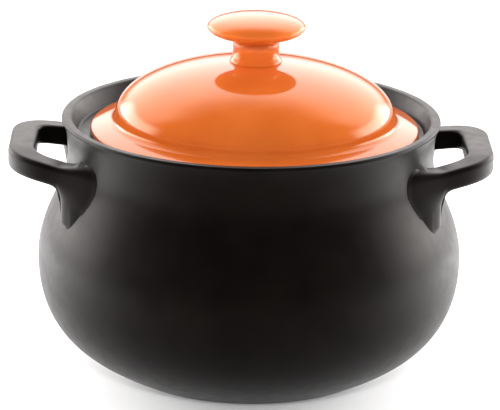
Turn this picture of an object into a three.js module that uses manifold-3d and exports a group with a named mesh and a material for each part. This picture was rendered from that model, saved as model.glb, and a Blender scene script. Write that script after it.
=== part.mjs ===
// Round clay casserole: a bellied pot with two looped handles, and a domed lid with a knob.
// The lid drops into a gallery, a stepped seat inside the pot's flared lip.
// Millimetres, +Z up, origin at the centre of the foot, handles along X.
import * as THREE from "three";
import { mergeVertices } from "three/addons/utils/BufferGeometryUtils.js";
import Module from "manifold-3d";

// Pot
const rimHeight = 140.5; // foot to the top of the lip
const rimRadius = 103.3; // outside edge of the lip
const lipWidth = 5.1; // outside to inside edge, on top of the lip
const lipRound = 1.6; // rounding of the lip's two edges
const neckRadius = 99.6; // narrowest outside radius, under the lip
const neckDrop = 21; // top of the lip to the narrowest point of the neck
const bellyRadius = 115;
const bellyHeight = 62.5; // foot to the widest point
const bellyFullness = 40; // how long the belly stays upright below its widest point
const shoulderRun = 25; // how long it stays upright above it
const neckRun = 19; // how long the neck stays upright below its narrowest point
const footRadius = 70;
const footHeight = 2;
const footWidth = 8; // width of the ring that the pot stands on
const footRecess = 1.6; // depth of the hollow inside that ring
const undersideSlope = 28; // degrees, where the belly leaves the foot
const undersideRun = 20; // length of that slope before the belly turns up
const wall = 7;
const floorThickness = 8.5;
const floorInset = 22; // foot's edge to the end of the flat floor inside
const floorRun = 30; // length over which the floor turns up into the wall

// Gallery, the lid's seat inside the lip
const galleryDepth = 9.3; // top of the lip down to the seat
const galleryRadius = 93.8; // outside corner of the seat
const mouthRadius = 86; // inside edge of the seat
const shelfThickness = 3.6; // upright edge of the seat, at the mouth
const shelfRun = 7; // height over which the wall swells in to carry the seat

// Handles
const gripReach = 29.6; // edge of the lip to the outside of the grip
const gripDrop = 19; // top of the lip down to the middle of the grip
const gripLength = 62; // between the corners of the loop, on its centre line
const strapWidth = 13.2;
const strapThickness = 10.4;
const strapRound = 3; // edge rounding of the strap
const cornerRun = 13; // from a corner of the loop to where its bend starts
const armSplay = 21; // degrees that each arm opens out towards the pot
const armRise = 11; // degrees that the loop rises away from the pot
const tailReach = 4.1; // outside of the neck to the upright edge of the tail under each arm
const tailLength = 22; // underside of the arm to the foot of its tail
const tailFillet = 4; // hollow between the arm's underside and its tail
const tailLean = 1.6; // how far the tail's edge leans towards the pot
const rootDepth = 30; // how far an arm is drawn past its tail's edge, before the pot's shape is cut off

// Lid
const lidClearance = 3.4; // lid's edge to the gallery's wall
const lidWall = 5.2;
const flangeThickness = 3.2; // at the outside edge
const flangeRise = 2.4; // how much higher the flange is at the dome's foot
const flangeWidth = 11.2;
const flangeRound = 1.2;
const lidSeatWidth = 6; // flat ring under the flange that rests on the seat
const coveRadius = 3.9; // hollow between the flange and the dome
const domeRise = 30.3;

// Knob
const knobRadius = 26.8;
const knobHalfHeight = 7.15;
const knobRise = 18.3; // top of the dome to the knob's widest level
const stemRadius = 13;
const stemFillet = 3; // hollow under the knob, where the stem runs into it
const collarWidth = 1.6; // how far the collar at the stem's foot stands out
const collarHeight = 3;

// Fits and facets
const seamGap = 0.3; // between pieces that are joined or that rest on each other
const turnSteps = 52; // facets round the pot and the lid
const knobSteps = 36;

const seatHeight = rimHeight - galleryDepth;
const lidBase = seatHeight + seamGap;
const flangeRadius = galleryRadius - lidClearance;
const domeFootRadius = flangeRadius - flangeWidth;
const domeRadius = domeFootRadius - coveRadius;
const domeFootHeight = lidBase + flangeThickness + flangeRise;
const domeBase = domeFootHeight + coveRadius;
const domeTop = domeBase + domeRise;

const blackGlaze = { color: 0x1c1a19, roughness: 0.42, metalness: 0 };
const orangeGlaze = { color: 0xe4571b, roughness: 0.08, metalness: 0 };

const wasm = await Module();
wasm.setup();

const point = (radius, height) => new THREE.Vector2(radius, height);

// Joins points and [curve, steps] pairs into one outline, without repeating the ends that meet.
function outline(...pieces) {
  const points = [];
  for (const piece of pieces) {
    const run = piece.isVector2 ? [piece] : piece[0].getPoints(piece[1]);
    for (const next of run) {
      const last = points[points.length - 1];
      if (!last || last.distanceTo(next) > 1e-6) points.push(next);
    }
  }
  return points;
}

// A solid turned about the Z axis from an outline of (radius, height).
function turned(points, steps) {
  return new THREE.LatheGeometry(points, steps).rotateX(Math.PI / 2);
}

const bezier = (...corners) => new THREE.CubicBezierCurve(...corners);
const bend = (...corners) => new THREE.QuadraticBezierCurve(...corners);

// Outside of the pot, from the edge of the foot up to the outside edge of the lip.
function potOutside() {
  const slope = THREE.MathUtils.degToRad(undersideSlope);
  const neckHeight = rimHeight - neckDrop;
  const heel = point(footRadius + footHeight / 2, footHeight);
  const heelRun = point(heel.x + undersideRun * Math.cos(slope), heel.y + undersideRun * Math.sin(slope));
  const belly = point(bellyRadius, bellyHeight);
  const neck = point(neckRadius, neckHeight);
  const lip = point(rimRadius, rimHeight - lipRound);
  const lowerBelly = bezier(heel, heelRun, point(bellyRadius, bellyHeight - bellyFullness), belly);
  const shoulder = bezier(
    belly,
    point(bellyRadius, bellyHeight + shoulderRun),
    point(neckRadius, neckHeight - neckRun),
    neck,
  );
  const flare = bezier(
    neck,
    point(neckRadius, neckHeight + neckDrop * 0.55),
    point(neckRadius + (rimRadius - neckRadius) * 0.35, rimHeight - neckDrop * 0.22),
    lip,
  );
  return outline(point(footRadius, 0), [lowerBelly, 9], [shoulder, 7], [flare, 6]);
}

// Top of the lip, the gallery inside it and the swelling that carries the seat, from outside to inside.
function potGallery() {
  const lipInside = rimRadius - lipWidth;
  const shelfBottom = seatHeight - shelfThickness;
  const outerRound = bend(
    point(rimRadius, rimHeight - lipRound),
    point(rimRadius, rimHeight),
    point(rimRadius - lipRound, rimHeight),
  );
  const innerRound = bend(
    point(lipInside + lipRound, rimHeight),
    point(lipInside, rimHeight),
    point(lipInside - lipRound / 2, rimHeight - lipRound),
  );
  const swelling = bezier(
    point(mouthRadius, shelfBottom),
    point(mouthRadius, shelfBottom - shelfRun / 2),
    point(neckRadius - wall, shelfBottom - shelfRun / 2),
    point(neckRadius - wall, shelfBottom - shelfRun),
  );
  return outline(
    [outerRound, 3],
    [innerRound, 3],
    point(galleryRadius, seatHeight),
    point(mouthRadius, seatHeight),
    [swelling, 4],
  );
}

// Inside of the wall from the gallery down, and the floor.
function potInside() {
  const top = point(neckRadius - wall, seatHeight - shelfThickness - shelfRun);
  const belly = point(bellyRadius - wall, bellyHeight);
  const floorEdge = point(footRadius - floorInset, floorThickness);
  const shoulder = bezier(
    top,
    point(top.x, top.y - neckRun / 2),
    point(belly.x, bellyHeight + shoulderRun),
    belly,
  );
  const lowerBelly = bezier(
    belly,
    point(belly.x, bellyHeight - bellyFullness),
    point(floorEdge.x + floorRun, floorThickness),
    floorEdge,
  );
  return outline([shoulder, 6], [lowerBelly, 7], point(0, floorThickness));
}

function potBody() {
  const footInside = footRadius - footWidth;
  const underside = [
    point(0, footRecess),
    point(footInside - footRecess, footRecess),
    point(footInside, 0),
  ];
  return turned(outline(...underside, ...potOutside(), ...potGallery(), ...potInside()), turnSteps);
}

// The pot's outside as a filled solid, a seam gap larger, for cutting what is luted onto it.
function potBlank() {
  const grown = potOutside().map((p) => point(p.x + seamGap, p.y));
  return turned(outline(point(0, 0), ...grown, point(rimRadius, rimHeight), point(0, rimHeight)), turnSteps);
}

// A closed mesh as a solid for joining and cutting. Faces that collapse at the axis are dropped.
function solid(geometry) {
  const bare = new THREE.BufferGeometry();
  bare.setAttribute("position", geometry.getAttribute("position"));
  bare.setIndex(geometry.index);
  const merged = mergeVertices(bare, 1e-4);
  const corners = merged.index.array;
  const kept = [];
  for (let i = 0; i < corners.length; i += 3) {
    const [a, b, c] = corners.slice(i, i + 3);
    if (a !== b && b !== c && a !== c) kept.push(a, b, c);
  }
  return new wasm.Manifold(
    new wasm.Mesh({
      numProp: 3,
      vertProperties: merged.getAttribute("position").array,
      triVerts: new Uint32Array(kept),
    }),
  );
}

function meshOf(made) {
  const { vertProperties, triVerts } = made.getMesh();
  const geometry = new THREE.BufferGeometry();
  geometry.setAttribute("position", new THREE.BufferAttribute(vertProperties, 3));
  geometry.setIndex(new THREE.BufferAttribute(triVerts, 1));
  geometry.computeVertexNormals();
  return geometry;
}

// A rounded upright section as (across, height) points, anticlockwise.
function strapSection(halfWidth, top, bottom, topRound, bottomRound) {
  const steps = 3;
  const corners = [
    { across: halfWidth - topRound, height: top - topRound, radius: topRound },
    { across: topRound - halfWidth, height: top - topRound, radius: topRound },
    { across: bottomRound - halfWidth, height: bottom + bottomRound, radius: bottomRound },
    { across: halfWidth - bottomRound, height: bottom + bottomRound, radius: bottomRound },
  ];
  return corners.flatMap((corner, quarter) =>
    Array.from({ length: steps + 1 }, (_, i) => {
      const angle = ((quarter + i / steps) * Math.PI) / 2;
      return point(
        corner.across + corner.radius * Math.cos(angle),
        corner.height + corner.radius * Math.sin(angle),
      );
    }),
  );
}

// A closed solid through rings of equally many points, with flat ends.
function loft(rings) {
  const count = rings[0].length;
  const index = [];
  for (let r = 0; r + 1 < rings.length; r++) {
    for (let i = 0; i < count; i++) {
      const a = r * count + i;
      const b = r * count + ((i + 1) % count);
      index.push(a, a + count, b, b, a + count, b + count);
    }
  }
  const last = (rings.length - 1) * count;
  for (let i = 1; i + 1 < count; i++) {
    index.push(0, i, i + 1, last, last + i + 1, last + i);
  }
  const geometry = new THREE.BufferGeometry().setFromPoints(rings.flat());
  return geometry.setIndex(index);
}

// One looped handle, on the +X side: a strap that leaves the pot, turns along the grip and comes back,
// with each arm deepened into a tail where it meets the shoulder.
function handle() {
  const splay = THREE.MathUtils.degToRad(armSplay);
  const rise = Math.tan(THREE.MathUtils.degToRad(armRise));
  const gripX = rimRadius + gripReach - strapWidth / 2;
  const gripZ = rimHeight - gripDrop;
  const tailX = neckRadius + tailReach;
  const toTail = (gripX - tailX) / Math.cos(splay);
  const armLength = toTail + rootDepth;

  // Centre line in plan, from inside the pot round to inside the pot.
  const along = (distance, side) =>
    point(gripX - distance * Math.cos(splay), side * (gripLength / 2 + distance * Math.sin(splay)));
  const start = along(armLength, -1);
  const bendIn = along(cornerRun, -1);
  const bendOut = along(cornerRun, 1);
  const end = along(armLength, 1);
  const halfGrip = gripLength / 2 - cornerRun;
  const plan = new THREE.Path()
    .moveTo(start.x, start.y)
    .lineTo(bendIn.x, bendIn.y)
    .quadraticCurveTo(gripX, -gripLength / 2, gripX, -halfGrip)
    .lineTo(gripX, halfGrip)
    .quadraticCurveTo(gripX, gripLength / 2, bendOut.x, bendOut.y)
    .lineTo(end.x, end.y);
  const length = plan.getLength();
  const bendStart = armLength - cornerRun;
  const bendEnd = length / 2 - halfGrip;
  const bendSteps = 6;

  // Distances along one half of the centre line where a section is drawn.
  const half = [0, rootDepth - tailLean, rootDepth];
  for (const share of [0.12, 0.4, 1]) half.push(rootDepth + tailFillet * share);
  for (let i = 0; i <= bendSteps; i++) half.push(bendStart + ((bendEnd - bendStart) * i) / bendSteps);
  const stations = [...half, ...half.toReversed().map((s) => length - s)];

  // How far the section reaches below the strap's underside, at a distance from the arm's inner end.
  const tailBelow = (distance) => {
    const out = distance - rootDepth;
    if (out < 0) return tailLength;
    if (out >= tailFillet) return 0;
    return tailFillet - Math.sqrt(tailFillet ** 2 - (tailFillet - out) ** 2);
  };

  const rings = stations.map((s) => {
    const place = plan.getPointAt(s / length);
    const way = plan.getTangentAt(s / length);
    const middle = gripZ - (gripX - place.x) * rise;
    const below = tailBelow(Math.min(s, length - s));
    const roundness = Math.min(strapWidth * 0.48, strapRound + below / 3);
    const top = strapThickness / 2;
    return strapSection(strapWidth / 2, top, -top - below, strapRound, roundness).map(
      (p) => new THREE.Vector3(place.x + way.y * p.x, place.y - way.x * p.x, middle + p.y),
    );
  });
  return meshOf(solid(loft(rings)).subtract(solid(potBlank())));
}

// Outside of the dome at a radius.
const domeHeight = (radius) => domeBase + domeRise * Math.sqrt(1 - (radius / domeRadius) ** 2);

function lid() {
  const edgeTop = lidBase + flangeThickness;
  const seatInside = flangeRadius - lidSeatWidth;
  const innerRadius = domeRadius - lidWall;
  const dome = new THREE.EllipseCurve(0, domeBase, domeRadius, domeRise, 0, Math.PI / 2);
  const hollow = new THREE.EllipseCurve(0, domeBase, innerRadius, domeRise - lidWall, Math.PI / 2, 0, true);
  const edge = bend(
    point(flangeRadius, edgeTop - flangeRound),
    point(flangeRadius, edgeTop),
    point(flangeRadius - flangeRound, edgeTop + (flangeRise * flangeRound) / flangeWidth),
  );
  const cove = bend(
    point(domeFootRadius, domeFootHeight),
    point(domeRadius, domeFootHeight + coveRadius * 0.2),
    point(domeRadius, domeBase),
  );
  const underside = bend(
    point(innerRadius, domeBase),
    point(innerRadius, lidBase + flangeThickness / 3),
    point(seatInside, lidBase),
  );
  return turned(
    outline(
      point(seatInside, lidBase),
      point(flangeRadius - flangeRound, lidBase),
      point(flangeRadius, lidBase + flangeRound),
      [edge, 3],
      [cove, 4],
      [dome, 10],
    ).concat(outline([hollow, 7], [underside, 4])),
    turnSteps,
  );
}

function knob() {
  const widest = domeTop + knobRise;
  const collarRadius = stemRadius + collarWidth;
  const baseSteps = 3;
  const base = Array.from({ length: baseSteps + 1 }, (_, i) => {
    const radius = (collarRadius * i) / baseSteps;
    return point(radius, domeHeight(radius) + seamGap);
  });
  const collarTop = base[baseSteps].y + collarHeight;
  const under = -Math.acos((stemRadius + stemFillet) / knobRadius);
  const head = new THREE.EllipseCurve(0, widest, knobRadius, knobHalfHeight, under, Math.PI / 2);
  const headStart = head.getPoint(0);
  const collar = bend(
    base[baseSteps],
    point(collarRadius, collarTop - collarHeight / 2),
    point(stemRadius, collarTop),
  );
  const fillet = bend(
    point(stemRadius, headStart.y - stemFillet),
    point(stemRadius, headStart.y - stemFillet * 0.15),
    headStart,
  );
  return turned(outline(...base, [collar, 3], [fillet, 3], [head, 12]), knobSteps);
}

function piece(name, geometry, glaze, parent) {
  const mesh = new THREE.Mesh(geometry, new THREE.MeshStandardMaterial(glaze));
  mesh.name = name;
  parent.add(mesh);
  return mesh;
}

const casserole = new THREE.Group();
const pot = new THREE.Group();
const cover = new THREE.Group();
casserole.add(pot, cover);

piece("pot_body", potBody(), blackGlaze, pot);
const handleShape = handle();
piece("handle_right", handleShape, blackGlaze, pot);
piece("handle_left", handleShape, blackGlaze, pot).rotation.z = Math.PI;
piece("lid", lid(), orangeGlaze, cover);
piece("lid_knob", knob(), orangeGlaze, cover);

export default casserole;
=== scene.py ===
"""Round clay casserole: a satin black pot with two looped handles and a glossy orange lid with a knob."""
import math

import bmesh
import bpy
import numpy as np
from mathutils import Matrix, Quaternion, Vector


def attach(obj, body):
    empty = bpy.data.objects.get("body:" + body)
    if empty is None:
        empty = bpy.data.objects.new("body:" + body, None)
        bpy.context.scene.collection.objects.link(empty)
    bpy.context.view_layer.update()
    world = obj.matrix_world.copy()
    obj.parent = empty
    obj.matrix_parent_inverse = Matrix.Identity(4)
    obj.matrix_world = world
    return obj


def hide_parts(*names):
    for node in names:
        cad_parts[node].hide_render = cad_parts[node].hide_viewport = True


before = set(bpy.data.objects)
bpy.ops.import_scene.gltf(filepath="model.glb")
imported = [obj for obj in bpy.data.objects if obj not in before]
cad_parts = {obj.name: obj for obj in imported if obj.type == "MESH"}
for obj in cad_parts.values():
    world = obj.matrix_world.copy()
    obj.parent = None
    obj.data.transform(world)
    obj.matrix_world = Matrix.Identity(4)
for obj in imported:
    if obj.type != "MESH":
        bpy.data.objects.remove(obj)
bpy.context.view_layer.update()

MM = 0.001

# Pot, in millimetres
RIM_HEIGHT = 140.5  # foot to the top of the lip
RIM_RADIUS = 102.2  # outside edge of the lip
LIP_WIDTH = 5.1  # outside to inside edge, on top of the lip
LIP_ROUND = 1.6
NECK_RADIUS = 99  # narrowest outside radius, under the lip
NECK_DROP = 21  # top of the lip down to the narrowest point
FLARE_RUN = 11.5  # how long the neck stays upright above that point
FLARE_REACH = 1.3  # how far the flare has opened at its last turn
FLARE_DROP = 4.6  # top of the lip down to that turn
BELLY_RADIUS = 115
BELLY_HEIGHT = 62.5  # foot to the widest point
BELLY_FULLNESS = 40  # how long the belly stays upright below it
SHOULDER_RUN = 25  # how long it stays upright above it
NECK_RUN = 19  # how long the neck stays upright below its narrowest point
FOOT_RADIUS = 67
HEEL_RADIUS = 71.9  # where the rounded edge above the foot runs into the belly
HEEL_HEIGHT = 1.5
FOOT_WIDTH = 8  # width of the ring that the pot stands on
FOOT_RECESS = 1.6  # depth of the hollow inside that ring
UNDERSIDE_SLOPE = 28  # degrees, where the belly leaves the heel
UNDERSIDE_RUN = 20  # length of that slope before the belly turns up
WALL = 7
FLOOR_THICKNESS = 8.5
FLOOR_INSET = 20  # foot's edge to the end of the flat floor inside
FLOOR_RUN = 30  # length over which the floor turns up into the wall

# Gallery, the lid's seat inside the lip
GALLERY_DEPTH = 9.3  # top of the lip down to the seat
GALLERY_RADIUS = 93.2  # outside corner of the seat
MOUTH_RADIUS = 85.4  # inside edge of the seat
SHELF_THICKNESS = 3.6  # upright edge of the seat, at the mouth
SHELF_RUN = 7  # height over which the wall swells in to carry the seat
SEAT_ROUND = 0.8

# Handles
GRIP_REACH = 28  # edge of the lip to the outside of the grip
GRIP_DROP = 18.7  # top of the lip down to the middle of the grip
GRIP_LENGTH = 62.5  # between the corners of the loop, on its centre line
STRAP_WIDTH = 14.4
STRAP_THICKNESS = 11
STRAP_ROUND = 3
CORNER_RUN = 15  # from a corner of the loop to where its bend starts
ARM_SPLAY = 21  # degrees that each arm opens out towards the pot
ARM_RISE = 11  # degrees that the loop rises away from the pot
ROOT_ROUND = 6.5  # rounding of the arm's top edges at the pot
ROOT_LIFT = 5  # how much the arm's top rises at the pot
ROOT_DEPTH = 30  # how far an arm is drawn past its tail's edge, before it is cut to the pot
ROOT_FILLET = 1.4  # hollow round the arm where it meets the pot
ROOT_SIDE = 0.3  # least share of a corner's normal along the pot for the hollow to move it
ROOT_BITE = 1.5  # how far the handles run into the pot's wall
TAIL_REACH = 2.8  # outside of the neck to the upright edge of the tail under each arm
TAIL_WIDTH = 17.2  # arm and tail at their widest, inside the pot
TAIL_NOSE = 2.6  # flat of the tail's rounded edge
TAIL_RUN = 22  # length over which the nose widens
TAIL_LENGTH = 20.5  # underside of the arm to the foot of its tail
TAIL_BLEND = 9  # height over which the arm narrows into its tail
TAIL_ROUND = 1.5  # edge rounding of the tail's foot
TAIL_ROUND_SHARE = 0.8  # the most that it takes of the tail's half width
TAIL_FILLET = 4  # hollow between the arm's underside and its tail
TAIL_LEAN = 1.6  # how far the tail's edge leans towards the pot

# Lid and knob
SEAM_GAP = 0.3  # lid's underside to the seat
LID_CLEARANCE = 4.4  # lid's edge to the gallery's wall when the lid lies in the middle
LID_SHIFT = 1.9  # how far right of the middle the loose lid lies
LID_WALL = 5.2
FLANGE_THICKNESS = 3.2  # at the outside edge
FLANGE_RISE = 2.4  # how much higher the flange is at the dome's foot
FLANGE_WIDTH = 9.4
FLANGE_ROUND = 1.2
LID_SEAT_WIDTH = 6  # flat ring under the flange that rests on the seat
COVE_RADIUS = 3.9  # hollow between the flange and the dome
COVE_LIFT = 0.8  # how far the hollow's corner lies above the flange
DOME_RISE = 30.1
KNOB_RADIUS = 26.5
KNOB_HALF_HEIGHT = 7.05
KNOB_RISE = 18.5  # top of the dome to the knob's widest level
STEM_RADIUS = 12.6
STEM_FILLET = 3  # hollow under the knob, where the stem runs into it
COLLAR_WIDTH = 1.6  # how far the collar at the stem's foot stands out
COLLAR_HEIGHT = 3

# Meshes
TURN_STEPS = 192
SAME_POINT = 1e-6  # millimetres
MERGE_DISTANCE = 2e-6  # metres
SHARP_ANGLE = 55  # degrees past which an edge of a cut handle stays sharp

# Glazes, in linear colours
BLACK_DEEP = (0.0022, 0.0017, 0.0015)
BLACK_PALE = (0.0045, 0.0036, 0.0032)
BLACK_ROUGHNESS = (0.36, 0.43)
BLACK_SPECULAR = 0.25
BLACK_TINT = (0.16, 0.14, 0.13, 1)
ORANGE_DEEP = (0.56, 0.112, 0.016)
ORANGE_PALE = (0.65, 0.144, 0.024)
ORANGE_ROUGHNESS = (0.03, 0.06)
ORANGE_IOR = 1.42
ORANGE_TINT = (1, 0.8, 0.55, 1)
NOISE_RANGE = (0.3, 0.7)  # the middle range, in which most of a noise texture lies

# Camera: the photograph's frame, viewing angle and slight roll
IMAGE_WIDTH = 500
CAMERA_DISTANCE = 1700
CAMERA_ELEVATION = 17.12
CAMERA_FOCAL_PIXELS = 3121.9
CAMERA_TARGET = (0.1, 0, 89.7)
CAMERA_AZIMUTH = -1.0
CAMERA_ROLL = 1.0
SENSOR_WIDTH = 36

# Floor, in metres
FLOOR_HALF = 40.0
FLOOR_COLOUR = (0.86, 0.86, 0.86, 1)
FLOOR_ROUGHNESS = 0.9
FLOOR_GLOW = 0.2  # share of plain white that the camera and mirrors see in it

# Light of the room, as radiance
ROOM_BACK = 3.7
ROOM_SIDES = 9.0
ROOM_DIM = 0.12
ROOM_COLOUR = (1, 0.955, 0.94, 1)

# Where the room turns from dark to bright, as parts of a direction of length 1
BACK_DEPTH = (0.0, 0.35)
BACK_TOP = (0.98, 0.7)
BACK_BOTTOM = (0.02, 0.22)
SIDES_BREADTH = (0.35, 0.65)
SIDES_DEPTH = (-0.15, 0.2)
SIDES_TOP = (0.55, 0.25)

# Lamps, in metres, with their radiance
BACK_LAMP = 0.3
BACK_LAMP_PLACE = (0, 1.15, 0.6)
BACK_LAMP_SIZE = (3.0, 1.2)
SIDE_LAMP = 10.0
SIDE_LAMP_PLACE = (0.52, 0.08, 0.15)
SIDE_LAMP_SIZE = (0.44, 0.6)
FRONT_LAMP = 0.8
FRONT_LAMP_PLACE = (0, -1.4, 0.95)
FRONT_LAMP_TARGET = (0, 0, 0.17)
FRONT_LAMP_SIZE = (0.4, 0.4)
FRONT_LAMP_BEAM = 14  # degrees

grip_x = RIM_RADIUS + GRIP_REACH - STRAP_WIDTH / 2
seat_height = RIM_HEIGHT - GALLERY_DEPTH
lid_base = seat_height + SEAM_GAP
flange_radius = GALLERY_RADIUS - LID_CLEARANCE
dome_foot_radius = flange_radius - FLANGE_WIDTH
dome_radius = dome_foot_radius - COVE_RADIUS
dome_foot_height = lid_base + FLANGE_THICKNESS + FLANGE_RISE
dome_base = dome_foot_height + COVE_RADIUS
dome_top = dome_base + DOME_RISE


def bezier(a, b, c, d, steps):
    """Points on a cubic curve with those four corners."""
    t = np.linspace(0, 1, steps + 1)[:, None]
    a, b, c, d = (np.array(p, float) for p in (a, b, c, d))
    return (1 - t) ** 3 * a + 3 * (1 - t) ** 2 * t * b + 3 * (1 - t) * t**2 * c + t**3 * d


def bend(a, b, c, steps):
    """Points on a quadratic curve with those three corners."""
    t = np.linspace(0, 1, steps + 1)[:, None]
    a, b, c = (np.array(p, float) for p in (a, b, c))
    return (1 - t) ** 2 * a + 2 * (1 - t) * t * b + t**2 * c


def ellipse(height, across, up, start, end, steps):
    """Points on an upright ellipse centred on the axis, between two angles."""
    angles = np.linspace(start, end, steps + 1)
    return np.stack([across * np.cos(angles), height + up * np.sin(angles)], 1)


def outline(*runs):
    """Joins runs of (radius, height) into one list, without repeating the ends that meet."""
    points = []
    for run in runs:
        for p in np.atleast_2d(np.array(run, float)):
            if not points or np.abs(points[-1] - p).max() > SAME_POINT:
                points.append(p)
    return points


def mesh_object(name, vertices, faces, material):
    """A smooth-shaded object from corners in millimetres, with its faces pointing out."""
    mesh = bpy.data.meshes.new(name)
    mesh.from_pydata([Vector(v) * MM for v in vertices], [], faces)
    made = bmesh.new()
    made.from_mesh(mesh)
    bmesh.ops.remove_doubles(made, verts=made.verts, dist=MERGE_DISTANCE)
    bmesh.ops.recalc_face_normals(made, faces=made.faces)
    made.to_mesh(mesh)
    made.free()
    for face in mesh.polygons:
        face.use_smooth = True
    if material:
        mesh.materials.append(material)
    piece = bpy.data.objects.new(name, mesh)
    bpy.context.collection.objects.link(piece)
    return piece


def turned(name, points, material, shift=0):
    """A solid turned about an upright axis, shifted along X, from an outline of (radius, height)."""
    vertices, rings, faces = [], [], []
    angles = np.linspace(0, 2 * np.pi, TURN_STEPS, endpoint=False)
    for radius, height in points:
        first = len(vertices)
        if radius < SAME_POINT:
            vertices.append((shift, 0, height))
            rings.append([first] * TURN_STEPS)
            continue
        vertices += [(shift + radius * math.cos(a), radius * math.sin(a), height) for a in angles]
        rings.append(list(range(first, first + TURN_STEPS)))
    for low, high in zip(rings, rings[1:]):
        for i in range(TURN_STEPS):
            j = (i + 1) % TURN_STEPS
            face = list(dict.fromkeys((low[i], low[j], high[j], high[i])))
            if len(face) > 2:
                faces.append(face)
    return mesh_object(name, vertices, faces, material)


def pot_outside():
    """The pot's outside from the foot's edge to the lip's outside edge."""
    slope = math.radians(UNDERSIDE_SLOPE)
    neck_height = RIM_HEIGHT - NECK_DROP
    heel = (HEEL_RADIUS, HEEL_HEIGHT)
    heel_run = (heel[0] + UNDERSIDE_RUN * math.cos(slope), heel[1] + UNDERSIDE_RUN * math.sin(slope))
    edge = bend((FOOT_RADIUS, 0), (HEEL_RADIUS - HEEL_HEIGHT / math.tan(slope), 0), heel, steps=8)
    lower = bezier(
        heel,
        heel_run,
        (BELLY_RADIUS, BELLY_HEIGHT - BELLY_FULLNESS),
        (BELLY_RADIUS, BELLY_HEIGHT),
        steps=48,
    )
    shoulder = bezier(
        (BELLY_RADIUS, BELLY_HEIGHT),
        (BELLY_RADIUS, BELLY_HEIGHT + SHOULDER_RUN),
        (NECK_RADIUS, neck_height - NECK_RUN),
        (NECK_RADIUS, neck_height),
        steps=40,
    )
    flare = bezier(
        (NECK_RADIUS, neck_height),
        (NECK_RADIUS, neck_height + FLARE_RUN),
        (NECK_RADIUS + FLARE_REACH, RIM_HEIGHT - FLARE_DROP),
        (RIM_RADIUS, RIM_HEIGHT - LIP_ROUND),
        steps=20,
    )
    return outline(edge, lower, shoulder, flare)


def pot_gallery():
    """The lip's top, the gallery and the swelling under its seat, from outside to inside."""
    lip_inside = RIM_RADIUS - LIP_WIDTH
    shelf_bottom = seat_height - SHELF_THICKNESS
    wall_inside = NECK_RADIUS - WALL
    return outline(
        bend(
            (RIM_RADIUS, RIM_HEIGHT - LIP_ROUND),
            (RIM_RADIUS, RIM_HEIGHT),
            (RIM_RADIUS - LIP_ROUND, RIM_HEIGHT),
            steps=8,
        ),
        bend(
            (lip_inside + LIP_ROUND, RIM_HEIGHT),
            (lip_inside, RIM_HEIGHT),
            (lip_inside - LIP_ROUND / 2, RIM_HEIGHT - LIP_ROUND),
            steps=8,
        ),
        bend(
            (GALLERY_RADIUS + SEAT_ROUND / 2, seat_height + SEAT_ROUND),
            (GALLERY_RADIUS, seat_height),
            (GALLERY_RADIUS - SEAT_ROUND, seat_height),
            steps=6,
        ),
        bend(
            (MOUTH_RADIUS + SEAT_ROUND, seat_height),
            (MOUTH_RADIUS, seat_height),
            (MOUTH_RADIUS, seat_height - SEAT_ROUND),
            steps=6,
        ),
        bezier(
            (MOUTH_RADIUS, shelf_bottom),
            (MOUTH_RADIUS, shelf_bottom - SHELF_RUN / 2),
            (wall_inside, shelf_bottom - SHELF_RUN / 2),
            (wall_inside, shelf_bottom - SHELF_RUN),
            steps=16,
        ),
    )


def pot_inside():
    """The inside of the wall from the gallery down, and the floor."""
    top = (NECK_RADIUS - WALL, seat_height - SHELF_THICKNESS - SHELF_RUN)
    belly = (BELLY_RADIUS - WALL, BELLY_HEIGHT)
    floor_edge = (FOOT_RADIUS - FLOOR_INSET, FLOOR_THICKNESS)
    return outline(
        bezier(
            top,
            (top[0], top[1] - NECK_RUN / 2),
            (belly[0], BELLY_HEIGHT + SHOULDER_RUN),
            belly,
            steps=24,
        ),
        bezier(
            belly,
            (belly[0], BELLY_HEIGHT - BELLY_FULLNESS),
            (floor_edge[0] + FLOOR_RUN, FLOOR_THICKNESS),
            floor_edge,
            steps=32,
        ),
        (0, FLOOR_THICKNESS),
    )


def pot_body(material):
    """The pot, from the middle of its underside round to the middle of its floor."""
    foot_inside = FOOT_RADIUS - FOOT_WIDTH
    underside = [(0, FOOT_RECESS), (foot_inside - FOOT_RECESS, FOOT_RECESS), (foot_inside, 0)]
    return turned("clay_pot", outline(underside, pot_outside(), pot_gallery(), pot_inside()), material)


def lid(material):
    """The lid, from the middle of its hollow round to the top of its dome."""
    edge_top = lid_base + FLANGE_THICKNESS
    seat_inside = flange_radius - LID_SEAT_WIDTH
    inner_radius = dome_radius - LID_WALL
    edge_slope = FLANGE_RISE * FLANGE_ROUND / FLANGE_WIDTH
    points = outline(
        ellipse(dome_base, inner_radius, DOME_RISE - LID_WALL, math.pi / 2, 0, steps=40),
        bend(
            (inner_radius, dome_base),
            (inner_radius, lid_base + FLANGE_THICKNESS / 3),
            (seat_inside, lid_base),
            steps=14,
        ),
        bend(
            (flange_radius - FLANGE_ROUND, lid_base),
            (flange_radius, lid_base),
            (flange_radius, lid_base + FLANGE_ROUND),
            steps=6,
        ),
        bend(
            (flange_radius, edge_top - FLANGE_ROUND),
            (flange_radius, edge_top),
            (flange_radius - FLANGE_ROUND, edge_top + edge_slope),
            steps=8,
        ),
        bend(
            (dome_foot_radius, dome_foot_height),
            (dome_radius, dome_foot_height + COVE_LIFT),
            (dome_radius, dome_base),
            steps=12,
        ),
        ellipse(dome_base, dome_radius, DOME_RISE, 0, math.pi / 2, steps=64),
    )
    return turned("lid_dome", points, material, LID_SHIFT)


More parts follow.
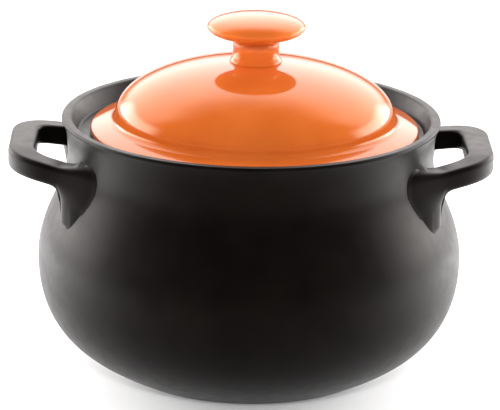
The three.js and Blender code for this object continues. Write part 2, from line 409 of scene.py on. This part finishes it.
def knob(material):
    """The knob, from the dome up over its collar, its stem and its head."""
    widest = dome_top + KNOB_RISE
    collar_radius = STEM_RADIUS + COLLAR_WIDTH
    radii = np.linspace(0, collar_radius, 8)
    dome_under = dome_base + DOME_RISE * np.sqrt(1 - (radii / dome_radius) ** 2)
    base = np.stack([radii, dome_under], 1)
    collar_top = base[-1][1] + COLLAR_HEIGHT
    under = -math.acos((STEM_RADIUS + STEM_FILLET) / KNOB_RADIUS)
    head = ellipse(widest, KNOB_RADIUS, KNOB_HALF_HEIGHT, under, math.pi / 2, steps=56)
    points = outline(
        base,
        bend(
            base[-1],
            (collar_radius, collar_top - COLLAR_HEIGHT / 2),
            (STEM_RADIUS, collar_top),
            steps=8,
        ),
        bend(
            (STEM_RADIUS, head[0][1] - STEM_FILLET),
            (STEM_RADIUS, head[0][1]),
            head[0],
            steps=8,
        ),
        head,
    )
    return turned("lid_knob_mushroom", points, material, LID_SHIFT)


def strap_section(half, top, top_round, tail_half, tail_depth):
    """A section across a strap with a tail below it, as (across, height) points, anticlockwise."""
    bottom = -STRAP_THICKNESS / 2
    tail_top = bottom - min(TAIL_BLEND, tail_depth)
    grown = (bottom - tail_top) / TAIL_BLEND
    foot = bottom - tail_depth
    low = min(TAIL_ROUND, tail_top - foot, TAIL_ROUND_SHARE * tail_half)

    def between(strap_edge):
        return strap_edge + (tail_half - strap_edge) * grown

    rounding = bend((tail_half - low, foot), (tail_half, foot), (tail_half, foot + low), steps=6)
    taper = bezier(
        (between(half - STRAP_ROUND), tail_top),
        (between(half - STRAP_ROUND / 2), (bottom + tail_top) / 2),
        (half, bottom),
        (half, bottom + STRAP_ROUND),
        steps=16,
    )
    shoulder = bend((half, top - top_round), (half, top), (half - top_round, top), steps=10)
    side = [tuple(p) for p in (*rounding, *taper, *shoulder)]
    return side + [(-across, height) for across, height in reversed(side)]


def handle_plan():
    """One half of the strap's centre line in plan, from inside the pot to the middle of the grip."""
    splay = math.radians(ARM_SPLAY)
    to_tail = (grip_x - NECK_RADIUS - TAIL_REACH) / math.cos(splay)
    arm_length = to_tail + ROOT_DEPTH
    half_grip = GRIP_LENGTH / 2 - CORNER_RUN

    def along(distance):
        return (grip_x - distance * math.cos(splay), -GRIP_LENGTH / 2 - distance * math.sin(splay))

    inside = ROOT_DEPTH - TAIL_LEAN - TAIL_RUN * (1 - np.cos(np.linspace(math.pi / 2, 0, 40)))
    lean = np.linspace(ROOT_DEPTH - TAIL_LEAN, ROOT_DEPTH, 20)
    hollow = ROOT_DEPTH + TAIL_FILLET * (1 - np.cos(np.linspace(0, math.pi / 2, 10)))
    arm = [along(arm_length - d) for d in (0, *inside, *lean, *hollow)]
    arm += [along(d) for d in np.linspace(to_tail - TAIL_FILLET, CORNER_RUN, 5)[1:-1]]
    turn = bend(along(CORNER_RUN), (grip_x, -GRIP_LENGTH / 2), (grip_x, -half_grip), steps=18)
    grip = [(grip_x, y) for y in np.linspace(-half_grip, 0, 7)[1:]]
    return outline(arm, turn, grip)


def tail_below(distance):
    """How far the section reaches below the strap, at a distance out from the arm's inner end."""
    out = distance - ROOT_DEPTH
    if out >= TAIL_FILLET:
        return 0
    if out > 0:
        return TAIL_FILLET - math.sqrt(TAIL_FILLET**2 - (TAIL_FILLET - out) ** 2)
    share = min(1, -out / TAIL_LEAN)
    return TAIL_FILLET + (TAIL_LENGTH - TAIL_FILLET) * share


def tail_half_width(distance):
    """Half the tail's width there: a rounded nose that widens towards the pot."""
    share = min(1, max(0, (ROOT_DEPTH - TAIL_LEAN - distance) / TAIL_RUN))
    return TAIL_NOSE / 2 + (TAIL_WIDTH - TAIL_NOSE) / 2 * math.sqrt(1 - (1 - share) ** 2)


def handle(name, turn, material, trim):
    """A looped strap whose arms deepen into tails, filleted and cut to the shoulder."""
    rise = math.tan(math.radians(ARM_RISE))
    path = handle_plan()
    line = np.array(path + [(x, -y) for x, y in path[-2::-1]])
    steps = np.linalg.norm(np.diff(line, axis=0), axis=1)
    travel = np.concatenate([[0], np.cumsum(steps)])
    ways = np.gradient(line, travel, axis=0)
    rings = []
    for spot, way, s in zip(line, ways, travel):
        way = way / np.linalg.norm(way)
        distance = min(s, travel[-1] - s)
        near = min(1, max(0, (ROOT_DEPTH - distance) / TAIL_RUN))
        near = near * near * (3 - 2 * near)
        half_width = (STRAP_WIDTH + (TAIL_WIDTH - STRAP_WIDTH) * near) / 2
        top = STRAP_THICKNESS / 2 + ROOT_LIFT * near
        top_round = STRAP_ROUND + (ROOT_ROUND - STRAP_ROUND) * near
        height = RIM_HEIGHT - GRIP_DROP - (grip_x - spot[0]) * rise
        section = strap_section(half_width, top, top_round, tail_half_width(distance), tail_below(distance))
        rings.append([(spot[0] + way[1] * a, spot[1] - way[0] * a, height + h) for a, h in section])
    count = len(rings[0])
    faces = [list(range(count)), list(range((len(rings) - 1) * count, len(rings) * count))]
    for r in range(len(rings) - 1):
        for i in range(count):
            j = (i + 1) % count
            faces.append((r * count + i, r * count + j, (r + 1) * count + j, (r + 1) * count + i))
    piece = mesh_object(name, [p for ring in rings for p in ring], faces, material)
    fillet_root(piece)
    cut(piece, trim)
    piece.data.transform(Quaternion((0, 0, 1), turn).to_matrix().to_4x4())
    return piece


def fillet_root(piece):
    """Spreads the arms where they meet the pot's outside, as smoothed clay does."""
    profile = np.array(pot_outside())
    moved = []
    for vertex in piece.data.vertices:
        spot = vertex.co / MM
        radius = np.interp(spot.z, profile[:, 1], profile[:, 0])
        slope = np.interp(spot.z + 1, profile[:, 1], profile[:, 0]) - radius
        out = Vector((spot.x, spot.y, 0)).normalized()
        away = Vector((out.x, out.y, -slope)).normalized()
        gap = (math.hypot(spot.x, spot.y) - radius) * away.dot(out)
        if gap >= ROOT_FILLET:
            continue
        gap = max(gap, 0)
        spread = ROOT_FILLET - math.sqrt(ROOT_FILLET**2 - (ROOT_FILLET - gap) ** 2)
        side = vertex.normal - away * vertex.normal.dot(away)
        if side.length > ROOT_SIDE:
            moved.append((vertex, side.normalized() * spread * MM))
    for vertex, shift in moved:
        vertex.co += shift


def cut(piece, trim):
    """Takes the trim's solid out of the piece and marks its sharp edges."""
    difference = piece.modifiers.new("trim", "BOOLEAN")
    difference.operation = "DIFFERENCE"
    difference.solver = "MANIFOLD"
    difference.object = trim
    shown = piece.evaluated_get(bpy.context.evaluated_depsgraph_get())
    whole = piece.data
    piece.data = bpy.data.meshes.new_from_object(shown)
    piece.modifiers.clear()
    bpy.data.meshes.remove(whole)
    piece.data.name = piece.name
    piece.data.set_sharp_from_angle(angle=math.radians(SHARP_ANGLE))


def node_material(name):
    """A new material, with its nodes, its links and its main shader."""
    material = bpy.data.materials.new(name)
    material.use_nodes = True
    nodes = material.node_tree.nodes
    return material, nodes, material.node_tree.links, nodes["Principled BSDF"]


def noise(nodes, links, scale, detail):
    """Noise in the object's own space, with a scale per metre."""
    space = nodes.new("ShaderNodeTexCoord")
    texture = nodes.new("ShaderNodeTexNoise")
    texture.inputs["Scale"].default_value = scale
    texture.inputs["Detail"].default_value = detail
    links.new(space.outputs["Object"], texture.inputs["Vector"])
    return texture.outputs["Fac"]


def ramp(nodes, links, source, low, high):
    """A blend of two colours across the source's middle range."""
    blend = nodes.new("ShaderNodeValToRGB")
    blend.color_ramp.elements[0].position = NOISE_RANGE[0]
    blend.color_ramp.elements[0].color = (*low, 1)
    blend.color_ramp.elements[1].position = NOISE_RANGE[1]
    blend.color_ramp.elements[1].color = (*high, 1)
    links.new(source, blend.inputs["Fac"])
    return blend.outputs["Color"]


def spread(nodes, links, source, low, high):
    """The source's middle range mapped onto low to high."""
    span = nodes.new("ShaderNodeMapRange")
    span.inputs["From Min"].default_value = NOISE_RANGE[0]
    span.inputs["From Max"].default_value = NOISE_RANGE[1]
    span.inputs["To Min"].default_value = low
    span.inputs["To Max"].default_value = high
    links.new(source, span.inputs["Value"])
    return span.outputs["Result"]


def bump(nodes, links, source, strength, height, under=None):
    """A relief of a height in metres, laid over the one under it."""
    relief = nodes.new("ShaderNodeBump")
    relief.inputs["Strength"].default_value = strength
    relief.inputs["Distance"].default_value = height
    links.new(source, relief.inputs["Height"])
    if under:
        links.new(under, relief.inputs["Normal"])
    return relief.outputs["Normal"]


def black_glaze():
    """Satin black iron glaze: soft broad sheen, faint mottling and a fine eggshell surface."""
    material, nodes, links, shader = node_material("satin_black_glaze")
    mottle = noise(nodes, links, scale=45, detail=4)
    links.new(ramp(nodes, links, mottle, BLACK_DEEP, BLACK_PALE), shader.inputs["Base Color"])
    patches = noise(nodes, links, scale=160, detail=3)
    links.new(spread(nodes, links, patches, *BLACK_ROUGHNESS), shader.inputs["Roughness"])
    grain = noise(nodes, links, scale=1500, detail=2)
    eggshell = bump(nodes, links, grain, strength=0.12, height=0.00005)
    swell = noise(nodes, links, scale=60, detail=1)
    waves = bump(nodes, links, swell, strength=0.10, height=0.0004, under=eggshell)
    links.new(waves, shader.inputs["Normal"])
    shader.inputs["Specular IOR Level"].default_value = BLACK_SPECULAR
    shader.inputs["Specular Tint"].default_value = BLACK_TINT
    return material


def orange_glaze():
    """Glossy orange glaze, a touch deeper where it has pooled."""
    material, nodes, links, shader = node_material("glossy_orange_glaze")
    pooling = noise(nodes, links, scale=30, detail=3)
    links.new(ramp(nodes, links, pooling, ORANGE_DEEP, ORANGE_PALE), shader.inputs["Base Color"])
    patches = noise(nodes, links, scale=90, detail=2)
    links.new(spread(nodes, links, patches, *ORANGE_ROUGHNESS), shader.inputs["Roughness"])
    swell = noise(nodes, links, scale=55, detail=1)
    links.new(bump(nodes, links, swell, strength=0.05, height=0.0003), shader.inputs["Normal"])
    shader.inputs["IOR"].default_value = ORANGE_IOR
    shader.inputs["Specular Tint"].default_value = ORANGE_TINT
    return material


def floor_material():
    """Pale paper with a share of plain white for the camera and mirrors, which keeps the shadow."""
    material, nodes, links, shader = node_material("pale_floor")
    shader.inputs["Base Color"].default_value = FLOOR_COLOUR
    shader.inputs["Roughness"].default_value = FLOOR_ROUGHNESS
    shader.inputs["Specular IOR Level"].default_value = 0
    white = nodes.new("ShaderNodeEmission")
    white.inputs["Strength"].default_value = 1
    path = nodes.new("ShaderNodeLightPath")
    seen = path.outputs["Is Camera Ray"]
    for other in ("Is Glossy Ray", "Is Transmission Ray"):
        either = nodes.new("ShaderNodeMath")
        either.operation = "MAXIMUM"
        links.new(seen, either.inputs[0])
        links.new(path.outputs[other], either.inputs[1])
        seen = either.outputs["Value"]
    share = nodes.new("ShaderNodeMath")
    share.operation = "MULTIPLY"
    share.inputs[1].default_value = FLOOR_GLOW
    links.new(seen, share.inputs[0])
    mix = nodes.new("ShaderNodeMixShader")
    links.new(share.outputs["Value"], mix.inputs["Fac"])
    links.new(shader.outputs["BSDF"], mix.inputs[1])
    links.new(white.outputs["Emission"], mix.inputs[2])
    links.new(mix.outputs["Shader"], nodes["Material Output"].inputs["Surface"])
    return material


def floor():
    """The wide floor that the pot stands on."""
    mesh = bpy.data.meshes.new("floor")
    corners = [(FLOOR_HALF * x, FLOOR_HALF * y, 0) for x, y in ((-1, -1), (1, -1), (1, 1), (-1, 1))]
    mesh.from_pydata(corners, [], [(0, 1, 2, 3)])
    mesh.materials.append(floor_material())
    plane = bpy.data.objects.new("floor", mesh)
    bpy.context.collection.objects.link(plane)


def aim(thing, place, target, roll=0):
    """Puts a camera or a lamp at a place, looking at a target, both in metres."""
    thing.location = place
    way = (Vector(target) - Vector(place)).to_track_quat("-Z", "Y")
    thing.rotation_mode = "QUATERNION"
    thing.rotation_quaternion = way @ Quaternion((0, 0, 1), math.radians(roll))


def softbox(name, place, target, size, radiance, beam=180):
    """A rectangular lamp of even brightness, hidden from the camera and from mirrors."""
    lamp = bpy.data.lights.new(name, "AREA")
    lamp.shape = "RECTANGLE"
    lamp.size, lamp.size_y = size
    lamp.energy = radiance * math.pi * size[0] * size[1]
    lamp.spread = math.radians(beam)
    lamp_object = bpy.data.objects.new(name, lamp)
    bpy.context.collection.objects.link(lamp_object)
    lamp_object.visible_camera = False
    lamp_object.visible_glossy = False
    aim(lamp_object, place, target)


def floor_lamp(name, place, size, radiance):
    """A softbox that faces straight down."""
    softbox(name, place, (place[0], place[1], 0), size, radiance)


def studio():
    """A room that is bright behind and beside the pot, with a dim ceiling, front and back horizon."""
    world = bpy.data.worlds.new("studio_room")
    world.use_nodes = True
    nodes, links = world.node_tree.nodes, world.node_tree.links
    way = nodes.new("ShaderNodeTexCoord")
    split = nodes.new("ShaderNodeSeparateXYZ")
    links.new(way.outputs["Generated"], split.inputs["Vector"])
    aside = nodes.new("ShaderNodeMath")
    aside.operation = "ABSOLUTE"
    links.new(split.outputs["X"], aside.inputs[0])

    def step(source, dark, bright):
        """A smooth step from 0 where the source is dark to 1 where it is bright."""
        edge = nodes.new("ShaderNodeMapRange")
        edge.interpolation_type = "SMOOTHSTEP"
        edge.inputs["From Min"].default_value = dark
        edge.inputs["From Max"].default_value = bright
        links.new(source, edge.inputs["Value"])
        return edge.outputs["Result"]

    def join(operation, first, second):
        """Two values or outputs put together."""
        both = nodes.new("ShaderNodeMath")
        both.operation = operation
        for source, end in zip((first, second), both.inputs):
            if isinstance(source, (int, float)):
                end.default_value = source
            else:
                links.new(source, end)
        return both.outputs["Value"]

    depth, up = split.outputs["Y"], split.outputs["Z"]
    back = join("MULTIPLY", step(depth, *BACK_DEPTH), step(up, *BACK_TOP))
    back = join("MULTIPLY", back, step(up, *BACK_BOTTOM))
    sides = join("MULTIPLY", step(aside.outputs["Value"], *SIDES_BREADTH), step(depth, *SIDES_DEPTH))
    sides = join("MULTIPLY", sides, step(up, *SIDES_TOP))
    level = join("MAXIMUM", join("MULTIPLY", back, ROOM_BACK), join("MULTIPLY", sides, ROOM_SIDES))
    level = join("ADD", level, ROOM_DIM)
    nodes["Background"].inputs["Color"].default_value = ROOM_COLOUR
    links.new(level, nodes["Background"].inputs["Strength"])
    bpy.context.scene.world = world
    floor_lamp("floor_lamp_back", BACK_LAMP_PLACE, BACK_LAMP_SIZE, BACK_LAMP)
    x, y, z = SIDE_LAMP_PLACE
    floor_lamp("floor_lamp_left", (-x, y, z), SIDE_LAMP_SIZE, SIDE_LAMP)
    floor_lamp("floor_lamp_right", (x, y, z), SIDE_LAMP_SIZE, SIDE_LAMP)
    softbox("fill_front", FRONT_LAMP_PLACE, FRONT_LAMP_TARGET, FRONT_LAMP_SIZE, FRONT_LAMP, FRONT_LAMP_BEAM)


def camera():
    """The photograph's camera."""
    lens = bpy.data.cameras.new("camera")
    lens.sensor_width = SENSOR_WIDTH
    lens.lens = CAMERA_FOCAL_PIXELS * SENSOR_WIDTH / IMAGE_WIDTH
    lens_object = bpy.data.objects.new("camera", lens)
    bpy.context.collection.objects.link(lens_object)
    target = Vector(CAMERA_TARGET) * MM
    tilt = math.radians(CAMERA_ELEVATION)
    back = Vector((0, -math.cos(tilt), math.sin(tilt)))
    back.rotate(Quaternion((0, 0, 1), math.radians(CAMERA_AZIMUTH)))
    aim(lens_object, target + back * CAMERA_DISTANCE * MM, target, CAMERA_ROLL)
    bpy.context.scene.camera = lens_object


def dress(piece, node, body):
    """Puts a piece in the stead of a node, on its body."""
    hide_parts(node)
    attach(piece, body)


camera()
studio()
floor()
black = black_glaze()
orange = orange_glaze()

dress(pot_body(black), "pot_body", "pot")

# The handles are cut to the pot's outside, a little way into its wall
bitten = [(r - ROOT_BITE, z) for r, z in pot_outside()]
trim = turned("trim", outline((0, 0), bitten, (0, RIM_HEIGHT)), None)
dress(handle("loop_handle_right", 0, black, trim), "handle_right", "pot")
dress(handle("loop_handle_left", math.pi, black, trim), "handle_left", "pot")
bpy.data.objects.remove(trim)

dress(lid(orange), "lid", "lid")
dress(knob(orange), "lid_knob", "lid")

bpy.context.scene.view_settings.view_transform = "Standard"
